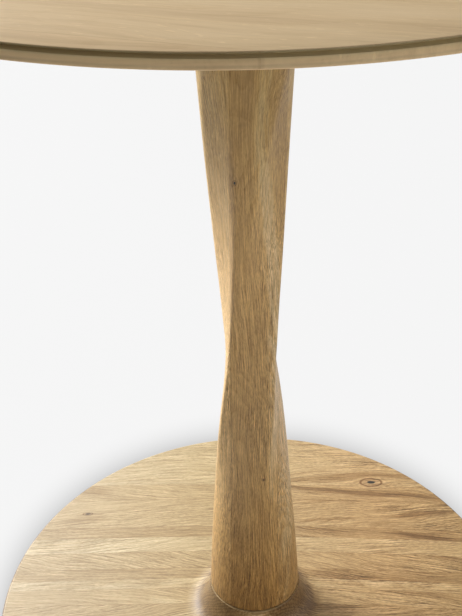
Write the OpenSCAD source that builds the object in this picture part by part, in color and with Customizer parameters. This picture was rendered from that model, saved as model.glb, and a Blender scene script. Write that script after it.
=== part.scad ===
// Round dining table with a turned base, a twisted column and a bevelled top.
// Millimetres, Z up. The origin is on the floor, under the middle of the table.

/* [Tabletop] */
// Height of the table's top face above the floor
table_h = 760; // [700:1:800]
// Diameter of the tabletop
top_d = 700; // [600:10:900]
// Thickness of the tabletop
top_t = 22; // [20:0.5:32]
// Height of the upright band round the tabletop's edge, with its lip and groove
edge_band = 8.5; // [5:0.5:12]
// Height of the thin lip over the groove in the edge
lip_h = 0.8; // [0.6:0.1:1.5]
// Height of the groove turned into the edge under the lip
groove_h = 2.2; // [1:0.1:3]
// Depth of the groove in the edge
groove_depth = 4; // [0.5:0.1:6]
// How far the bevel under the edge runs inwards
bevel_run = 30; // [10:1:60]
// Rounding of the tabletop's upper edge
top_arris_r = 0.5; // [0.2:0.1:0.6]
// Bevel of the arris between the upright band and the bevel under it
low_arris = 1; // [0.5:0.1:2]

/* [Column] */
// Diameter of the column's round foot
foot_d = 81.2; // [78:0.2:88]
// Width across the flats at the column's waist
waist_w = 39; // [38:0.2:48]
// Height of the waist above the floor
waist_h = 345; // [320:1:380]
// Width across the flats of the column's square head
head_w = 84; // [76:0.2:90]
// Twist of the waist's square for each 100 mm of height, in degrees
twist_rate = 23.8; // [10:0.1:26]
// Drop below the waist to where the twisted square faces straight ahead
face_on_drop = 21; // [0:1:60]
// Turn of the square head for each 100 mm of height, in degrees
head_twist_rate = 0.7; // [0:0.1:10]
// Height above the waist where the square head faces straight ahead
head_face_on = 140; // [100:1:300]
// Squareness of the twisted waist's sections, where 2 is a circle
squareness = 15.4; // [4:0.1:20]
// Squareness of the head's sections, where 2 is a circle
head_squareness = 3.7; // [3:0.1:10]
// Height above the waist where the head's faces start to cut the twisted square
head_start = 8; // [0:1:60]
// Height over which the head's faces come in
head_blend = 53; // [30:1:160]
// Sharpness of the edges between the head's faces and the twisted ones
edge_sharpness = 33; // [12:1:60]
// Bevel round the foot's lower edge
foot_bevel = 0.7; // [0.3:0.1:1.5]

/* [Base] */
// Diameter of the base disc
base_d = 482; // [440:1:600]
// Thickness of the base disc at its rim
rim_t = 22; // [20:0.5:30]
// Rise of the base disc's top face from the rim to the cove
dome_rise = 8; // [2:0.5:14]
// Height of the hub's seat above the floor
hub_h = 69; // [60:0.5:80]
// Shoulder of the hub that stands out round the foot
hub_shoulder = 1; // [0.5:0.1:3]
// Width of the cove round the hub
cove_w = 17; // [12:0.5:30]
// Rounding of the base disc's upper rim
rim_r = 2.5; // [1.5:0.5:8]
// Bevel of the base disc's lower rim
rim_low_r = 1.5; // [0.5:0.5:3]

/* [Ballast] */
// Diameter of the steel plate in the base
ballast_d = 380; // [300:5:390]
// Thickness of the steel plate in the base
ballast_t = 8; // [5:0.5:9]
// Gap round the steel plate and depth that it lies inside the underside
ballast_gap = 0.5; // [0.3:0.1:1]
// Number of screws that hold the steel plate
ballast_screws_n = 6; // [4:1:8]
// Radius of the circle of the steel plate's screws
ballast_screw_ring = 150; // [110:5:170]

/* [Glides] */
// Diameter of a levelling glide's plastic foot
glide_d = 26; // [20:1:32]
// Height of a levelling glide's plastic foot
glide_h = 5.7; // [4:0.1:8]
// Gap between a glide's foot and the base disc when it is screwed in
glide_gap = 0.3; // [0.3:0.1:1]
// Radius of the circle on which the glides stand
glide_ring = 214; // [206:1:222]
// Diameter of a glide's threaded stem
stem_d = 8; // [6:1:8]
// Length of a glide's threaded stem above its foot
stem_l = 14; // [12:0.5:15]
// Length of the threaded sleeve that a stem runs in
sleeve_l = 15; // [13:0.5:17]
// Wall of the threaded sleeve
sleeve_wall = 2; // [1.5:0.5:3]

/* [Joints and fasteners] */
// Diameter of the mounting plate under the top
plate_d = 240; // [200:5:300]
// Thickness of the mounting plate
plate_t = 5; // [4:0.5:6]
// Bevel round the mounting plate's lower edge
plate_bevel = 1; // [0.5:0.1:2]
// Number of screws between the mounting plate and the tabletop
top_screws_n = 6; // [4:1:8]
// Radius of the circle of the tabletop's screws
top_screw_ring = 100; // [80:1:105]
// Diameter of the tabletop's screws
top_screw_d = 6; // [5:1:6]
// Length of the tabletop's screws under their heads
top_screw_l = 16; // [14:0.5:17]
// Radius of the circle of the bolts in both ends of the column
bolt_ring = 24; // [22:0.5:26]
// Diameter of the bolts in both ends of the column
bolt_d = 8; // [6:1:8]
// Length of the countersunk screws in the column's head
head_screw_l = 40; // [30:1:50]
// Length of the bolts in the column's foot, under their washers
foot_bolt_l = 85; // [75:1:95]
// Length of the threaded inserts in both ends of the column
insert_l = 25; // [18:1:30]
// Wall of the threaded inserts
insert_wall = 1.5; // [1:0.25:2]
// Length of the threaded inserts in the tabletop
top_insert_l = 12; // [10:0.5:14]
// Diameter of the dowel between the hub and the foot
dowel_d = 20; // [16:1:24]
// Length of the dowel between the hub and the foot
dowel_l = 60; // [40:1:70]
// Radial clearance between each fastener, insert, stem or dowel and its hole
fit_gap = 0.05; // [0.02:0.01:0.1]

/* [Hidden] */

oak = "burlywood";
beech = "navajowhite";
steel = "silver";
black_steel = "dimgray";
brass = "goldenrod";
black_plastic = "black";

// Levels of the faces that meet, from the floor up
base_z = glide_h + glide_gap;
rim_top_z = base_z + rim_t;
pocket_z = base_z + ballast_gap + ballast_t;
cove_z = rim_top_z + dome_rise;
head_z = table_h - top_t - plate_t;
top_z = table_h - top_t;

foot_r = foot_d / 2;
hub_r = foot_r + hub_shoulder;
base_r = base_d / 2;
top_r = top_d / 2;
insert_r = bolt_d / 2 + fit_gap + insert_wall;
top_insert_r = top_screw_d / 2 + fit_gap + insert_wall;
sleeve_r = stem_d / 2 + fit_gap + sleeve_wall;

round_fn = 96;
small_fn = 48;
arris_steps = 2;
rim_steps = 4;
cove_steps = 12;

// Four bolts in each end of the column and four glides stand at the corners of a square
corners = 4;
corner_start = 45;

// Thin lip and arris of the hub round the foot's seat
hub_lip = 1;
hub_arris = 0.3;

// How far a cut runs past the face that it opens
past = 1;

// Standard fastener heads, in shares of the thread's diameter
washer_t = 1.6;
washer_r = bolt_d;
hex_r = 0.94 * bolt_d;
hex_h = 0.66 * bolt_d;
csk_r = 0.95 * bolt_d;
csk_h = 0.5 * bolt_d;
button_r = 0.9 * top_screw_d;
button_h = 0.55 * top_screw_d;
top_washer_t = 1.2;
top_washer_r = 1.05 * top_screw_d;
button_crown = 0.7;
socket_share = 0.6;
spanner_gap = 3;
sleeve_room = 2;
bolt_room = washer_r + spanner_gap;
wood_screw_r = 2.25;
wood_screw_head_r = 4.4;
wood_screw_head_h = 2.6;
wood_screw_bite = 9;
hole_spare = 2;
foot_edge = 1;

// Shape of the column
ring_points = 64;
rings = 44;
turn_of_rings = 10 * 360 / ring_points;
foot_flare = 0.073;
foot_swell = 0.5;
waist_flare = 1.34;
waist_square_w = 128;
head_square_w = 43.1;
square_fades_below = 175;
square_full_above = 3;
tip = 0.01;

// Points of a turned edge's quarter round, from the side up and in to the top face
function quarter_round(side_r, face_z, r, steps) = [
    for (i = [0 : steps])
        let (a = 90 * i / steps)
        [side_r - r * (1 - cos(a)), face_z - r * (1 - sin(a))]
];

// 0 to 1 with a soft start and end
function smooth(t) = let (u = min(1, max(0, t))) u * u * (3 - 2 * u);

// 0 to 1, flat at the start over about e and straight after it
function flare(t, e) = (sqrt(t * t + e * e) - e) / (sqrt(1 + e * e) - e);

// Radius of a square of half-width 1 with soft corners, at an angle
function soft_square(a, power) =
    pow(pow(abs(cos(a)), power) + pow(abs(sin(a)), power), -1 / power);

// How far a level lies below the waist, 1 at the foot, and above it, 1 at the tabletop
function below(z) = max(0, (waist_h - z) / (waist_h - hub_h));
function above(z) = max(0, (z - waist_h) / (top_z - waist_h));

// Half-width of the lower column, which swells into the round foot
function foot_half(z) =
    let (s = flare(below(z), foot_flare))
    waist_w / 2 + (foot_r - waist_w / 2) * ((1 - foot_swell) * s + foot_swell * sin(90 * s));

// Half-width of the twisted square round the waist
function waist_half(z) = z < waist_h
    ? foot_half(z)
    : waist_w / 2 + (waist_square_w - waist_w) / 2 * flare(above(z), waist_flare);

// Half-width of the square head
function head_half(z) = head_square_w / 2 + (head_w - head_square_w) / 2 * above(z);

// How far the head's faces have come in at a level
function head_share(z) = smooth((z - waist_h - head_start) / head_blend);

// Share of the twisted square at a level; the rest is round
function square_share(z) =
    smooth((z - waist_h + square_fades_below) / (square_fades_below + square_full_above));

// Turn of the twisted square at a level
function waist_turn(z) = twist_rate * (z - waist_h + face_on_drop) / 100;

// Radius at an angle of the twisted square that runs down into the round foot
function twisted_r(a, z) = let (w = square_share(z))
    w * waist_half(z) * soft_square(a - waist_turn(z), squareness) + (1 - w) * foot_half(z);

// Radius at an angle of the head's square
function head_r(a, z) = head_half(z)
    * soft_square(a - head_twist_rate * (z - waist_h - head_face_on) / 100, head_squareness);

// Radius of the column: what the twisted square and the head's faces both leave standing
function column_r(a, z) = pow(
    head_share(z) * pow(head_r(a, z), -edge_sharpness) + pow(twisted_r(a, z), -edge_sharpness),
    -1 / edge_sharpness
);

// Angle of a ring's first point, which follows the twisted edges until the head's take over
function ring_start(z) = min(waist_turn(z), turn_of_rings);

// Levels of the column's rings: the foot's bevel, then even steps to the head
column_levels = concat(
    [hub_h],
    [for (i = [0 : rings]) hub_h + foot_bevel + (head_z - hub_h - foot_bevel) * i / rings]
);

// The same shape at each place of a ring
module on_ring(r, n, start = 0) {
    for (i = [0 : n - 1])
        rotate([0, 0, start + 360 * i / n])
            translate([r, 0, 0])
                children();
}

// A screw hole, bolt hole or pocket upwards from z
module hole(z, r, h) {
    translate([0, 0, z])
        cylinder(r = r, h = h, $fn = small_fn);
}

// A threaded insert or sleeve, open at its lower end
module insert(z, r, bore, l) {
    difference() {
        hole(z, r, l);
        hole(z - past, bore, l + 2 * past);
    }
}

// A flat ring
module washer(z, r, bore, t) {
    insert(z, r, bore, t);
}

// The tabletop, as a turned section: lip, groove, upright band and the bevel below it
module tabletop() {
    band_low = top_t - edge_band;
    groove_top = top_t - lip_h;
    groove_low = groove_top - groove_h;
    color(oak)
        difference() {
            rotate_extrude($fn = round_fn)
                translate([0, top_z])
                    polygon(concat(
                        [[0, 0], [top_r - bevel_run, 0], [top_r - low_arris, band_low]],
                        [[top_r, band_low + low_arris], [top_r, groove_low]],
                        [[top_r - groove_depth, groove_low], [top_r - groove_depth, groove_top]],
                        [[top_r, groove_top]],
                        quarter_round(top_r, top_t, top_arris_r, arris_steps),
                        [[0, top_t]]
                    ));
            on_ring(top_screw_ring, top_screws_n)
                hole(top_z - past, top_insert_r + fit_gap, top_insert_l + past);
            on_ring(top_screw_ring, top_screws_n)
                hole(top_z, top_screw_d / 2 + fit_gap, top_screw_l - plate_t + hole_spare);
        }
}

// The steel plate between the column's head and the tabletop
module mounting_plate() {
    color(black_steel)
        difference() {
            rotate_extrude($fn = round_fn)
                translate([0, head_z])
                    polygon([
                        [0, 0], [plate_d / 2 - plate_bevel, 0], [plate_d / 2, plate_bevel],
                        [plate_d / 2, plate_t], [0, plate_t]
                    ]);
            on_ring(top_screw_ring, top_screws_n)
                hole(head_z - past, top_screw_d / 2 + fit_gap, plate_t + 2 * past);
            on_ring(bolt_ring, corners, corner_start)
                hole(head_z - past, bolt_d / 2 + fit_gap, plate_t + 2 * past);
            on_ring(bolt_ring, corners, corner_start)
                translate([0, 0, head_z + plate_t - csk_h - fit_gap])
                    cylinder(r1 = bolt_d / 2 + fit_gap, r2 = csk_r + fit_gap,
                             h = csk_h + fit_gap + tip, $fn = small_fn);
        }
}

module tabletop_inserts() {
    color(brass)
        on_ring(top_screw_ring, top_screws_n)
            insert(top_z, top_insert_r, top_screw_d / 2 + fit_gap, top_insert_l);
}

// Button-head screws from below, through the plate into the tabletop
module tabletop_screws() {
    head_top = head_z - top_washer_t;
    color(steel)
        on_ring(top_screw_ring, top_screws_n)
            difference() {
                union() {
                    hole(head_top, top_screw_d / 2, top_washer_t + top_screw_l);
                    translate([0, 0, head_top - button_h])
                        cylinder(r1 = button_r * button_crown, r2 = button_r, h = button_h,
                                 $fn = small_fn);
                }
                translate([0, 0, head_top - button_h - past])
                    cylinder(r = top_screw_d * socket_share / 2,
                             h = button_h * socket_share + past, $fn = 6);
            }
}

module tabletop_washers() {
    color(steel)
        on_ring(top_screw_ring, top_screws_n)
            washer(head_z - top_washer_t, top_washer_r, top_screw_d / 2 + fit_gap, top_washer_t);
}

// The solid column: round foot, twisted waist and square head, lofted from its sections
module column_body() {
    points = [
        for (j = [0 : len(column_levels) - 1])
            for (k = [0 : ring_points - 1])
                let (z = column_levels[j], a = ring_start(z) + 360 * k / ring_points)
                let (r = column_r(a, z) - (j == 0 ? foot_bevel : 0))
                [r * cos(a), r * sin(a), z]
    ];
    function at(j, k) = j * ring_points + k % ring_points;
    top = len(column_levels) - 1;
    sides = [
        for (j = [0 : top - 1])
            for (k = [0 : ring_points - 1])
                for (tri = [
                    [at(j, k), at(j + 1, k), at(j + 1, k + 1)],
                    [at(j, k), at(j + 1, k + 1), at(j, k + 1)]
                ])
                    tri
    ];
    foot_face = [for (k = [0 : ring_points - 1]) at(0, k)];
    head_face = [for (k = [0 : ring_points - 1]) at(top, ring_points - 1 - k)];
    polyhedron(points, concat(sides, [foot_face, head_face]));
}

module column() {
    foot_reach = pocket_z + foot_bolt_l - hub_h;
    head_reach = head_screw_l - plate_t;
    color(oak)
        difference() {
            column_body();
            on_ring(bolt_ring, corners, corner_start)
                hole(hub_h - past, insert_r + fit_gap, insert_l + past);
            on_ring(bolt_ring, corners, corner_start)
                hole(hub_h, bolt_d / 2 + fit_gap, max(insert_l, foot_reach) + hole_spare);
            on_ring(bolt_ring, corners, corner_start)
                hole(head_z - insert_l, insert_r + fit_gap, insert_l + past);
            on_ring(bolt_ring, corners, corner_start)
                hole(head_z - max(insert_l, head_reach) - hole_spare, bolt_d / 2 + fit_gap,
                     max(insert_l, head_reach) + hole_spare);
            hole(hub_h - past, dowel_d / 2 + fit_gap, dowel_l / 2 + past);
        }
}

module column_head_inserts() {
    color(brass)
        on_ring(bolt_ring, corners, corner_start)
            insert(head_z - insert_l, insert_r, bolt_d / 2 + fit_gap, insert_l);
}

// Countersunk screws from above, through the plate into the column's head
module column_head_screws() {
    color(steel)
        on_ring(bolt_ring, corners, corner_start)
            difference() {
                union() {
                    hole(top_z - head_screw_l, bolt_d / 2, head_screw_l - csk_h);
                    translate([0, 0, top_z - csk_h])
                        cylinder(r1 = bolt_d / 2, r2 = csk_r, h = csk_h, $fn = small_fn);
                }
                translate([0, 0, top_z - csk_h * socket_share])
                    cylinder(r = bolt_d * socket_share / 2, h = csk_h, $fn = 6);
            }
}

module column_foot_inserts() {
    color(brass)
        on_ring(bolt_ring, corners, corner_start)
            insert(hub_h, insert_r, bolt_d / 2 + fit_gap, insert_l);
}

// Hex bolts from below, through the hub into the column's foot
module column_foot_bolts() {
    seat = pocket_z - washer_t;
    color(steel)
        on_ring(bolt_ring, corners, corner_start) {
            hole(seat, bolt_d / 2, washer_t + foot_bolt_l);
            translate([0, 0, seat - hex_h])
                cylinder(r = hex_r, h = hex_h, $fn = 6);
        }
}

module column_foot_washers() {
    color(steel)
        on_ring(bolt_ring, corners, corner_start)
            washer(pocket_z - washer_t, washer_r, bolt_d / 2 + fit_gap, washer_t);
}

module centre_dowel() {
    color(beech)
        hole(hub_h - dowel_l / 2, dowel_d / 2, dowel_l);
}

// The turned base: rim, shallow dome, cove and hub, with the plate's pocket underneath
module base_disc() {
    cove_depth = hub_h - cove_z - hub_lip;
    cove = [
        for (i = [0 : cove_steps])
            let (a = 90 * i / cove_steps)
            [hub_r + cove_w * (1 - sin(a)), hub_h - hub_lip - cove_depth * cos(a)]
    ];
    color(oak)
        difference() {
            rotate_extrude($fn = round_fn)
                polygon(concat(
                    [[0, base_z], [base_r - rim_low_r, base_z], [base_r, base_z + rim_low_r]],
                    quarter_round(base_r, rim_top_z, rim_r, rim_steps),
                    cove,
                    [[hub_r - hub_arris, hub_h], [0, hub_h]]
                ));
            hole(base_z - past, ballast_d / 2 + ballast_gap, pocket_z - base_z + past);
            on_ring(bolt_ring, corners, corner_start)
                hole(pocket_z - past, bolt_d / 2 + fit_gap, hub_h - pocket_z + 2 * past);
            hole(hub_h - dowel_l / 2, dowel_d / 2 + fit_gap, dowel_l / 2 + past);
            on_ring(ballast_screw_ring, ballast_screws_n)
                hole(pocket_z - past, wood_screw_r + fit_gap, wood_screw_bite + hole_spare);
            on_ring(glide_ring, corners, corner_start)
                hole(base_z - past, sleeve_r + fit_gap, sleeve_l + past);
        }
}

// The steel plate that weighs the base down. It leaves room round the foot's bolts and,
// where it is wide enough to reach them, round the glides' sleeves
module ballast_plate() {
    bottom = base_z + ballast_gap;
    color(black_steel)
        difference() {
            translate([0, 0, bottom])
                cylinder(d = ballast_d, h = ballast_t, $fn = round_fn);
            on_ring(bolt_ring, corners, corner_start)
                hole(bottom - past, bolt_room, ballast_t + 2 * past);
            on_ring(glide_ring, corners, corner_start)
                hole(bottom - past, sleeve_r + sleeve_room, ballast_t + 2 * past);
            on_ring(ballast_screw_ring, ballast_screws_n)
                hole(bottom - past, wood_screw_r + fit_gap, ballast_t + 2 * past);
            on_ring(ballast_screw_ring, ballast_screws_n)
                translate([0, 0, bottom - tip])
                    cylinder(r1 = wood_screw_head_r + fit_gap, r2 = wood_screw_r + fit_gap,
                             h = wood_screw_head_h + fit_gap, $fn = small_fn);
        }
}

module ballast_screws() {
    bottom = base_z + ballast_gap;
    color(steel)
        on_ring(ballast_screw_ring, ballast_screws_n) {
            translate([0, 0, bottom])
                cylinder(r1 = wood_screw_head_r, r2 = wood_screw_r, h = wood_screw_head_h,
                         $fn = small_fn);
            hole(bottom + wood_screw_head_h, wood_screw_r,
                 ballast_t - wood_screw_head_h + wood_screw_bite);
        }
}

module glide_sleeves() {
    color(steel)
        on_ring(glide_ring, corners, corner_start)
            insert(base_z, sleeve_r, stem_d / 2 + fit_gap, sleeve_l);
}

// Place of one of the four levelling glides
module at_glide(i) {
    rotate([0, 0, corner_start + 360 * (i - 1) / corners])
        translate([glide_ring, 0, 0])
            children();
}

// The threaded stem of a levelling glide
module glide_stem(i) {
    color(steel)
        at_glide(i)
            hole(glide_h, stem_d / 2, stem_l);
}

// The plastic foot of a levelling glide, with bevelled edges
module glide_foot(i) {
    r = glide_d / 2;
    color(black_plastic)
        at_glide(i)
            rotate_extrude($fn = small_fn)
                polygon([
                    [0, 0], [r - foot_edge, 0], [r, foot_edge],
                    [r, glide_h - foot_edge], [r - foot_edge, glide_h], [0, glide_h]
                ]);
}

module glide_1_stem() { glide_stem(1); }
module glide_1_foot() { glide_foot(1); }
module glide_2_stem() { glide_stem(2); }
module glide_2_foot() { glide_foot(2); }
module glide_3_stem() { glide_stem(3); }
module glide_3_foot() { glide_foot(3); }
module glide_4_stem() { glide_stem(4); }
module glide_4_foot() { glide_foot(4); }

tabletop();
mounting_plate();
tabletop_inserts();
tabletop_screws();
tabletop_washers();
column();
column_head_inserts();
column_head_screws();
column_foot_inserts();
column_foot_bolts();
column_foot_washers();
centre_dowel();
base_disc();
ballast_plate();
ballast_screws();
glide_sleeves();
glide_1_stem();
glide_1_foot();
glide_2_stem();
glide_2_foot();
glide_3_stem();
glide_3_foot();
glide_4_stem();
glide_4_foot();
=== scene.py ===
"""Round oak table on a twisted column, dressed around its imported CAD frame.

Metres, +Z up, the front towards -Y. The tabletop, the column and the base are
rebuilt finely in the places of their CAD nodes, and so are the threaded glides.
The steel, brass and hidden parts keep their CAD meshes and get their finishes here.
"""
import logging
import math
from dataclasses import dataclass
from enum import Enum
from typing import Callable, Sequence

import bmesh
import bpy
from mathutils import Matrix, Vector


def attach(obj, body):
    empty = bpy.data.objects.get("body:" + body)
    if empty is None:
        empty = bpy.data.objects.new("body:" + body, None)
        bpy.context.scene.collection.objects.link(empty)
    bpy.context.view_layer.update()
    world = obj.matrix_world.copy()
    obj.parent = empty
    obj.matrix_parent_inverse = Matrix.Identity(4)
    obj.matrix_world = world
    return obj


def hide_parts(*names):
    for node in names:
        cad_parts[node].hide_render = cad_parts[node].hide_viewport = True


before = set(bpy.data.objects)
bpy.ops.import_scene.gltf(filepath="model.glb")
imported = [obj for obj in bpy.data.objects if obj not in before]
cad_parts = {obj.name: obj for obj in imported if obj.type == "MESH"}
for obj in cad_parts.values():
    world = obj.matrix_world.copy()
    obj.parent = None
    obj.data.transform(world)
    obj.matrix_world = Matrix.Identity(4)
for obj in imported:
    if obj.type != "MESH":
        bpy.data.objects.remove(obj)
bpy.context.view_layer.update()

log = logging.getLogger("round_table")
MM = 0.001
TABLE = "table"
OVERCUT = 1 * MM
TOP_UNDERSIDE = 738 * MM
HUB_TOP = 69 * MM
BOLT_RING = 24 * MM
DOWEL_ROOM = 10.05 * MM
DOWEL_DEPTH = 30 * MM
GLIDE_RING = 214 * MM
Colour = tuple[float, float, float]
Place = tuple[float, float, float]
Point = tuple[float, float]
Stops = tuple[tuple[float, Colour], ...]
Socket = bpy.types.NodeSocket
WHITE: Colour = (1.0, 1.0, 1.0)
PLAIN: Stops = ((0.0, WHITE), (1.0, WHITE))


class Value:
    """A number inside a node tree that can be added and multiplied like a float."""

    def __init__(self, graph: "Graph", socket: Socket) -> None:
        """Keeps the socket that carries the number."""
        self.graph = graph
        self.socket = socket

    def __add__(self, other: "Value | float") -> "Value":
        """Adds a value or a number."""
        return self.graph.math("ADD", self, other)

    def __sub__(self, other: "Value | float") -> "Value":
        """Takes away a value or a number."""
        return self.graph.math("SUBTRACT", self, other)

    def __mul__(self, other: "Value | float") -> "Value":
        """Multiplies by a value or a number."""
        return self.graph.math("MULTIPLY", self, other)

    def __truediv__(self, other: "Value | float") -> "Value":
        """Divides by a value or a number."""
        return self.graph.math("DIVIDE", self, other)


class Graph:
    """Builds a node tree step by step."""

    def __init__(self, tree: bpy.types.NodeTree) -> None:
        """Empties the tree."""
        self.tree = tree
        self.tree.nodes.clear()

    def node(self, kind: str, *values: object, **settings: object) -> bpy.types.Node:
        """Adds a node, sets its properties and feeds its first inputs.

        Args:
            kind: the node's type.
            values: what goes into its inputs, in their order.
            settings: properties of the node by name.

        Returns:
            The new node.
        """
        made = self.tree.nodes.new(kind)
        for name, setting in settings.items():
            setattr(made, name, setting)
        for target, value in zip(made.inputs, values):
            self.put(target, value)
        return made

    def put(self, target: Socket, value: object) -> None:
        """Feeds a socket.

        Args:
            target: the input to feed.
            value: a value, another socket, or a plain number or vector.
        """
        source = value.socket if isinstance(value, Value) else value
        if isinstance(source, Socket):
            self.tree.links.new(source, target)
        else:
            target.default_value = source

    def math(self, operation: str, a: object, b: object = 0.0, c: object = 0.0) -> Value:
        """Works out a number from up to three others."""
        return Value(self, self.node("ShaderNodeMath", a, b, c, operation=operation).outputs[0])

    def vector(self, x: object, y: object, z: object) -> Socket:
        """Combines three numbers into a vector."""
        return self.node("ShaderNodeCombineXYZ", x, y, z).outputs[0]

    def split(self, vector: Socket) -> tuple[Value, ...]:
        """Splits a vector or a colour into its three numbers."""
        return tuple(Value(self, out) for out in self.node("ShaderNodeSeparateXYZ", vector).outputs)

    def turned(self, vector: Socket, degrees: float) -> Socket:
        """Turns a vector about Z, so that X runs along a line at this angle."""
        turn = (0, 0, -math.radians(degrees))
        return self.node("ShaderNodeMapping", vector, (0, 0, 0), turn).outputs[0]

    def length(self, x: object, y: object, z: object = 0.0) -> Value:
        """Length of the vector that three numbers make."""
        made = self.node("ShaderNodeVectorMath", self.vector(x, y, z), operation="LENGTH")
        return Value(self, made.outputs["Value"])

    def noise(self, x: object, y: object, z: object, detail: float = 2.0,
              roughness: float = 0.5) -> Value:
        """Smooth noise between 0 and 1 with a cell of about one unit.

        Args:
            x: first number of the place where the noise is read.
            y: second number.
            z: third number.
            detail: how many finer layers it has.
            roughness: how strong the finer layers are.

        Returns:
            The noise.
        """
        made = self.node("ShaderNodeTexNoise", self.vector(x, y, z))
        for name, number in (("Scale", 1.0), ("Detail", detail), ("Roughness", roughness)):
            made.inputs[name].default_value = number
        return Value(self, made.outputs[0])

    def ease(self, value: Value, start: object, stop: object, low: float = 0.0,
             high: float = 1.0, shape: str = "SMOOTHSTEP") -> Value:
        """Takes a value from one number to another.

        Args:
            value: what is mapped.
            start: where the change starts.
            stop: where the change ends.
            low: the result up to start.
            high: the result from stop.
            shape: the node's interpolation.

        Returns:
            The mapped value.
        """
        made = self.node("ShaderNodeMapRange", value, start, stop, low, high,
                         interpolation_type=shape, clamp=True)
        return Value(self, made.outputs[0])

    def ramp(self, value: Value, stops: Sequence[tuple[float, Colour]],
             stepped: bool = False) -> Socket:
        """Looks a value up in a row of colours.

        Args:
            value: what is looked up, from 0 to 1.
            stops: places and their colours.
            stepped: whether a colour holds until the next place.

        Returns:
            The colour.
        """
        made = self.node("ShaderNodeValToRGB", value)
        made.color_ramp.interpolation = "CONSTANT" if stepped else "LINEAR"
        points = made.color_ramp.elements
        while len(points) < len(stops):
            points.new(0.5)
        for point, (position, _) in zip(points, stops):
            point.position = position
        for point, (_, colour) in zip(points, stops):
            point.color = (*colour, 1.0)
        return made.outputs[0]

    def blend(self, factor: object, first: object, second: object, mode: str = "MIX") -> Socket:
        """Mixes two colours.

        Args:
            factor: share of the second colour.
            first: colour or socket.
            second: colour or socket.
            mode: the node's blending mode.

        Returns:
            The mixed colour.
        """
        made = self.node("ShaderNodeMix", factor, data_type="RGBA", blend_type=mode)
        for target, value in zip((made.inputs[6], made.inputs[7]), (first, second)):
            self.put(target, (*value, 1.0) if isinstance(value, tuple) else value)
        return made.outputs[2]


class Paint(Graph):
    """A node material around a Principled shader, in object coordinates."""

    def __init__(self, name: str) -> None:
        """Starts the material with its shader, output and coordinates.

        Args:
            name: the material's name.
        """
        self.material = bpy.data.materials.new(name)
        self.material.use_nodes = True
        super().__init__(self.material.node_tree)
        self.shader = self.node("ShaderNodeBsdfPrincipled")
        self.node("ShaderNodeOutputMaterial", self.shader.outputs["BSDF"])
        coordinates = self.node("ShaderNodeTexCoord")
        self.place = coordinates.outputs["Object"]
        self.facing = coordinates.outputs["Normal"]

    def surface(self, colour: Socket, roughness: Value, relief: Value, distance: float,
                strength: float) -> None:
        """Feeds the shader.

        Args:
            colour: the surface's colour.
            roughness: how rough it is.
            relief: its height, from 0 to 1.
            distance: what a height of 1 stands for, in metres.
            strength: how much of the relief shows.
        """
        bump = self.node("ShaderNodeBump")
        for name, number in (("Strength", strength), ("Distance", distance), ("Height", relief)):
            self.put(bump.inputs[name], number)
        for name, value in (("Base Color", colour), ("Roughness", roughness),
                            ("Normal", bump.outputs[0])):
            self.put(self.shader.inputs[name], value)

    def specks(self, wide: float, detail: float, tall: float | None = None,
               long: float | None = None) -> Value:
        """Noise in plain object coordinates.

        Args:
            wide: size of a cell in metres.
            detail: how many finer layers it has.
            tall: its size along Z, where that differs.
            long: its size along X, where that differs.

        Returns:
            The noise.
        """
        x, y, z = self.split(self.place)
        return self.noise(x / (long or wide), y / wide, z / (tall or wide), detail)


class Grain(Enum):
    """Which way the boards of a part run."""

    ALONG_X = "x"
    ALONG_Z = "z"


@dataclass(frozen=True)
class Board:
    """One board of a glued-up part.

    It ends at `edge` across the part, in metres; `tone` is 0 for a dark board and 1 for a
    light one; the heart of its tree lies at `heart`, across and deep; the grain climbs by
    `slope` for each metre; `warmth` yellows it.
    """

    edge: float
    tone: float
    heart: Point
    slope: float
    warmth: float


@dataclass(frozen=True)
class Knot:
    """A knot: its place along, across and deep, its half length and half width.

    `dark` is how strong it shows and `eye` the share of it that is black.
    """

    place: Place
    size: Point
    dark: float
    eye: float


@dataclass(frozen=True)
class StreakOrPaintedLight:
    """A soft patch along the grain, darker than the rest or lighter if `dark` is negative. Parts
    use it both for patches in the wood and for painted light and shade.
    """

    place: Point
    size: Point
    dark: float


@dataclass(frozen=True)
class Cell:
    """A cell of the noise in wood, with its length along the grain and its width.

    `detail` and `roughness` say how finely it breaks up, and `shift` keeps two noises of
    one board apart. A `shared` noise runs on from board to board.
    """

    length: float
    width: float
    detail: float = 1.0
    roughness: float = 0.5
    shift: float = 0.0
    shared: bool = False


@dataclass(frozen=True)
class Oak:
    """Oiled oak, sawn from boards with growth rings, fibres, pores, rays and knots."""

    name: str
    grain: Grain
    seed: float
    boards: tuple[Board, ...]
    pale: Colour
    middle: Colour
    brown: Colour
    knots: tuple[Knot, ...] = ()
    streaks: tuple[StreakOrPaintedLight, ...] = ()
    turn: float = 0.0
    lean: float = 0.0
    deep_brown: Colour = (0.21, 0.115, 0.04)
    warm: Colour = (1.0, 0.93, 0.80)
    knot_colour: Colour = (0.30, 0.165, 0.065)
    eye_colour: Colour = (0.012, 0.008, 0.006)
    ring_width: float = 2.7 * MM
    contrast: Point = (1.0, 1.0)
    reach: Point = (-0.24, 0.24)
    # Colour multiplied in along the grain over `reach`: wood tone and painted light and shade,
    # where a part has them.
    tone_and_painted_light_along: Stops = PLAIN
    # Colour multiplied in by height over `layers_reach`: painted light and shade, such as painted
    # shade in a joint or a groove.
    layers: Stops = PLAIN
    layers_reach: Point = (0.0, 1.0)
    fibre_width: float = 0.5 * MM
    around: float = 0.0
    skew: float = 1.2
    ring_strength: float = 0.20
    streak_strength: float = 0.20
    cloud_strength: float = 0.25
    hair_strength: float = 2.2
    tick_strength: float = 0.9
    band_strength: float = 0.35
    pore_strength: float = 0.32
    glue_strength: float = 0.16
    end_strength: float = 0.34
    end_reach: Point = (0.25, 0.85)
    roughness: float = 0.46
    shine: float = 0.42

    def material(self) -> bpy.types.Material:
        """Builds the material."""
        return Timber(self).build()


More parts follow.
